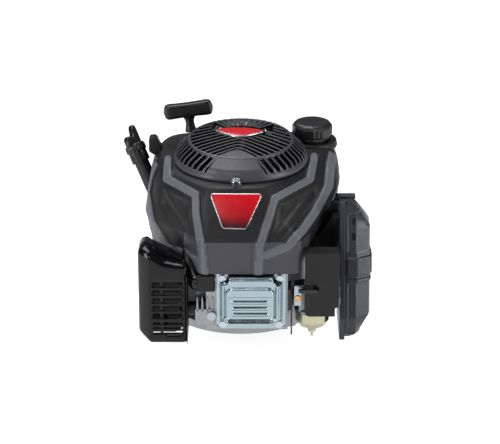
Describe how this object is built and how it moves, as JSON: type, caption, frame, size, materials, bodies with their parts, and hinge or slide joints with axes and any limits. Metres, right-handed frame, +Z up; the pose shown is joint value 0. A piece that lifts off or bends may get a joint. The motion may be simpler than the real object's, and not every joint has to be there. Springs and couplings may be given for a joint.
{
  "type": "small gasoline engine",
  "caption": "Single-cylinder vertical-shaft petrol engine with recoil starter, fan-cooled shroud, side exhaust and carburettor, and a flange mount.",
  "frame": {"origin": "centre of the crankshaft at the mounting face", "axes": "+Z up along the crankshaft, -Y towards the cylinder head, +X towards the carburettor"},
  "size_m": [0.3718, 0.3164, 0.3376],
  "materials": {
    "cast_aluminium": "as-cast, blasted",
    "machined_aluminium": "machined",
    "phenolic": "moulded phenolic",
    "ground_steel": "ground",
    "spring_steel": "oiled spring steel",
    "zinc_plate": "zinc plated",
    "bright_screw": "bright zinc",
    "zinc_cover": "blue zinc plated pressing",
    "dark_lever": "black oxide",
    "passivated_bowl": "yellow passivated",
    "carburettor_zinc": "die cast",
    "black_plastic": "moulded",
    "gasket_sheet": "fibre sheet",
    "black_rubber": "moulded rubber",
    "plug_ceramic": "glazed ceramic",
    "coil_epoxy": "potted",
    "rope_braid": "braided nylon",
    "handle_plastic": "fine grain",
    "grained_plastic": "coarse spark grain",
    "grille_plastic": "grained",
    "badge_red": "red film with silver rim",
    "plate_red": "red film with pale border",
    "cap_plastic": "fine grain",
    "filter_plastic": "fine grain",
    "filter_foam": "pleated paper",
    "satin_black": "satin powder coat",
    "heat_steel": "aluminised steel",
    "gloss_black": "gloss black paint"
  },
  "bodies": {
    "engine": {"air_filter_base": "black_plastic", "air_filter_element": "filter_foam", "blower_housing": "grained_plastic", "carb_shield": "satin_black", "carburettor_body": "carburettor_zinc", "case_bolts": "zinc_plate", "connecting_rod": "machined_aluminium", "control_bracket": "zinc_plate", "crankcase": "cast_aluminium", "cylinder_head": "cast_aluminium", "drain_plug": "zinc_plate", "fan_grille": "grille_plastic", "flange_screws": "bright_screw", "float_bowl": "passivated_bowl", "front_plate": "plate_red", "fuel_hose": "black_rubber", "fuel_tank": "black_plastic", "gaskets": "gasket_sheet", "ignition_coil": "coil_epoxy", "ignition_lead": "black_rubber", "intake_flange": "phenolic", "mounting_flange": "cast_aluminium", "muffler": "heat_steel", "muffler_guard": "gloss_black", "oil_filler_tube": "black_plastic", "oil_seals": "black_rubber", "piston": "machined_aluminium", "piston_pin": "ground_steel", "piston_rings": "ground_steel", "plug_boot": "black_rubber", "rewind_spring": "spring_steel", "rod_cap": "machined_aluminium", "spark_plug": "plug_ceramic", "starter_rope": "rope_braid", "top_badge": "badge_red", "valve_cover": "zinc_cover", "valve_springs": "spring_steel"},
    "crank": {"crankshaft": "ground_steel", "flywheel": "cast_aluminium", "flywheel_nut": "zinc_plate", "starter_cup": "zinc_plate"},
    "cam": {"camshaft": "ground_steel"},
    "governor": {"governor_vane": "black_plastic"},
    "reel": {"starter_reel": "black_plastic"},
    "pawl": {"starter_pawl": "black_plastic"},
    "handle": {"starter_handle": "handle_plastic"},
    "cap_seal": {"fuel_cap_gasket": "black_rubber"},
    "cap": {"fuel_cap": "cap_plastic"},
    "dip_seal": {"dipstick_seal": "black_rubber"},
    "dip": {"dipstick": "handle_plastic"},
    "throttle": {"throttle_lever": "zinc_plate"},
    "choke": {"choke_lever": "dark_lever"},
    "lever": {"control_lever": "zinc_plate"},
    "filter_cover": {"air_filter_cover": "filter_plastic"},
    "ex_tappet": {"exhaust_tappet": "ground_steel"},
    "ex_rocker": {"exhaust_rocker": "ground_steel"},
    "ex_valve": {"exhaust_valve": "ground_steel"},
    "in_tappet": {"intake_tappet": "ground_steel"},
    "in_rocker": {"intake_rocker": "ground_steel"},
    "in_valve": {"intake_valve": "ground_steel"}
  },
  "joints": [
    {"name": "crank_spin", "type": "hinge", "parent": "engine", "child": "crank", "pos_m": [0, 0, 0.0685], "axis": [0, 0, -1], "continuous": true, "deforming": ["connecting_rod", "rod_cap"]},
    {"name": "cam_spin", "type": "hinge", "parent": "engine", "child": "cam", "pos_m": [0.05298, -0.02817, 0.0685], "axis": [0, 0, -1], "continuous": true},
    {"name": "governor_pivot", "type": "hinge", "parent": "engine", "child": "governor", "pos_m": [0.066, 0.062, 0.113], "axis": [0, 0, 1], "range_deg": [-6, 10]},
    {"name": "handle_pull", "type": "slide", "parent": "engine", "child": "handle", "axis": [-0.1186, 0.0988, 0.988], "range_m": [0, 0.8], "stiffness_N_per_m": 12, "springref_m": -0.25, "deforming": ["starter_rope", "rewind_spring"]},
    {"name": "reel_turn", "type": "hinge", "parent": "engine", "child": "reel", "pos_m": [0, 0, 0.205], "axis": [0, 0, -1], "range_deg": [0, 882.47], "deforming": ["rewind_spring"]},
    {"name": "pawl_pivot", "type": "hinge", "parent": "reel", "child": "pawl", "pos_m": [0.018, 0, 0.1845], "axis": [0, 0, -1], "range_deg": [0, 20]},
    {"name": "fuel_cap_lift", "type": "slide", "parent": "engine", "child": "cap_seal", "axis": [0, 0, 1], "range_m": [0, 0.12]},
    {"name": "fuel_cap_turn", "type": "hinge", "parent": "cap_seal", "child": "cap", "pos_m": [0.108, 0.085, 0.248], "axis": [0, 0, 1], "range_deg": [0, 90]},
    {"name": "dipstick_pull", "type": "slide", "parent": "engine", "child": "dip_seal", "axis": [-0.3989, 0.329, 0.856], "range_m": [0, 0.16]},
    {"name": "dipstick_turn", "type": "hinge", "parent": "dip_seal", "child": "dip", "pos_m": [-0.1558, 0.0555, 0.221], "axis": [-0.3989, 0.329, 0.856], "range_deg": [0, 90]},
    {"name": "throttle_pivot", "type": "hinge", "parent": "engine", "child": "throttle", "pos_m": [0.093, -0.128, 0.088], "axis": [0, 0, 1], "range_deg": [-5, 75]},
    {"name": "choke_pivot", "type": "hinge", "parent": "engine", "child": "choke", "pos_m": [0.111, -0.128, 0.088], "axis": [0, 0, 1], "range_deg": [-2, 4]},
    {"name": "control_lever_pivot", "type": "hinge", "parent": "engine", "child": "lever", "pos_m": [0.15, 0.012, 0.14], "axis": [0, 1, 0], "range_deg": [-15, 15]},
    {"name": "filter_cover_pull", "type": "slide", "parent": "engine", "child": "filter_cover", "axis": [1, 0, 0], "range_m": [0, 0.12]},
    {"name": "exhaust_tappet_lift", "type": "slide", "parent": "engine", "child": "ex_tappet", "axis": [0, -1, 0], "range_m": [0, 0.0042], "stiffness_N_per_m": 300, "springref_m": -0.004, "deforming": ["valve_springs"]},
    {"name": "exhaust_rocker_pivot", "type": "hinge", "parent": "engine", "child": "ex_rocker", "pos_m": [0.031, -0.154, 0.0515], "axis": [0, 0, -1], "range_deg": [0, 11.2]},
    {"name": "exhaust_valve_lift", "type": "slide", "parent": "engine", "child": "ex_valve", "axis": [0, 1, 0], "range_m": [0, 0.0049], "deforming": ["valve_springs"]},
    {"name": "intake_tappet_lift", "type": "slide", "parent": "engine", "child": "in_tappet", "axis": [0, -1, 0], "range_m": [0, 0.0042], "stiffness_N_per_m": 300, "springref_m": -0.004, "deforming": ["valve_springs"]},
    {"name": "intake_rocker_pivot", "type": "hinge", "parent": "engine", "child": "in_rocker", "pos_m": [0.031, -0.154, 0.0855], "axis": [0, 0, -1], "range_deg": [0, 11.2]},
    {"name": "intake_valve_lift", "type": "slide", "parent": "engine", "child": "in_valve", "axis": [0, 1, 0], "range_m": [0, 0.0049], "deforming": ["valve_springs"]}
  ],
  "couplings": [
    {"joint": "cam_spin", "follows": "crank_spin", "ratio": -0.5},
    {"joint": "reel_turn", "follows": "handle_pull", "rad_per_m": 19.231},
    {"joint": "exhaust_rocker_pivot", "follows": "exhaust_tappet_lift", "rad_per_m": 45.502},
    {"joint": "exhaust_valve_lift", "follows": "exhaust_tappet_lift", "ratio": 1.1376},
    {"joint": "intake_rocker_pivot", "follows": "intake_tappet_lift", "rad_per_m": 45.502},
    {"joint": "intake_valve_lift", "follows": "intake_tappet_lift", "ratio": 1.1376}
  ]
}
